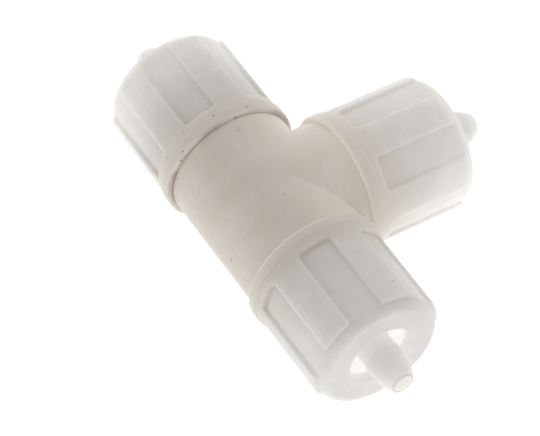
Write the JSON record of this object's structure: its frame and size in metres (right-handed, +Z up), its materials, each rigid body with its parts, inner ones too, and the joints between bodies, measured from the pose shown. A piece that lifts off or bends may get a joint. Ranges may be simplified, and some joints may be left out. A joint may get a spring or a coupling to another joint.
{
  "type": "barbed tee connector",
  "caption": "Translucent plastic hose tee with a fluted union nut on each port, clamping a hose over a barbed tail.",
  "frame": {"origin": "centre of the bounding box at its base, on the surface the fitting lies on", "axes": "+X along the run, from port run_b to port run_a; +Y along the branch, outward; +Z up"},
  "size_m": [0.0864, 0.0564, 0.0263],
  "materials": {
    "body_polymer": "natural cream polymer, slightly translucent, satin",
    "nut_polymer": "natural polypropylene, translucent, satin",
    "tail_polymer": "natural polypropylene, translucent, satin",
    "ring_polymer": "natural polypropylene, translucent, satin",
    "seal_elastomer": "pale elastomer, dull"
  },
  "bodies": {
    "fitting_body": {"tee_body": "body_polymer", "hose_tail_run_a": "tail_polymer", "hose_tail_run_b": "tail_polymer", "hose_tail_branch": "tail_polymer", "seal_ring_run_a": "seal_elastomer", "seal_ring_run_b": "seal_elastomer", "seal_ring_branch": "seal_elastomer"},
    "clamp_run_a": {"clamp_ring_run_a": "ring_polymer"},
    "clamp_run_b": {"clamp_ring_run_b": "ring_polymer"},
    "clamp_branch": {"clamp_ring_branch": "ring_polymer"},
    "nut_run_a": {"union_nut_run_a": "nut_polymer"},
    "nut_run_b": {"union_nut_run_b": "nut_polymer"},
    "nut_branch": {"union_nut_branch": "nut_polymer"}
  },
  "joints": [
    {"name": "clamp_slide_run_a", "type": "slide", "parent": "fitting_body", "child": "clamp_run_a", "axis": [1, 0, 0], "range_m": [0, 0.006]},
    {"name": "nut_turn_run_a", "type": "hinge", "parent": "clamp_run_a", "child": "nut_run_a", "pos_m": [0.0362, -0.01503, 0.01315], "axis": [1, 0, 0], "range_deg": [0, 1440]},
    {"name": "clamp_slide_run_b", "type": "slide", "parent": "fitting_body", "child": "clamp_run_b", "axis": [-1, 0, 0], "range_m": [0, 0.006]},
    {"name": "nut_turn_run_b", "type": "hinge", "parent": "clamp_run_b", "child": "nut_run_b", "pos_m": [-0.0362, -0.01503, 0.01315], "axis": [-1, 0, 0], "range_deg": [0, 1440]},
    {"name": "clamp_slide_branch", "type": "slide", "parent": "fitting_body", "child": "clamp_branch", "axis": [0, 1, 0], "range_m": [0, 0.006]},
    {"name": "nut_turn_branch", "type": "hinge", "parent": "clamp_branch", "child": "nut_branch", "pos_m": [0, 0.02117, 0.01315], "axis": [0, 1, 0], "range_deg": [0, 1440]}
  ],
  "couplings": [
    {"joint": "clamp_slide_run_a", "follows": "nut_turn_run_a", "m_per_rad": 0.00023873},
    {"joint": "clamp_slide_run_b", "follows": "nut_turn_run_b", "m_per_rad": 0.00023873},
    {"joint": "clamp_slide_branch", "follows": "nut_turn_branch", "m_per_rad": 0.00023873}
  ]
}
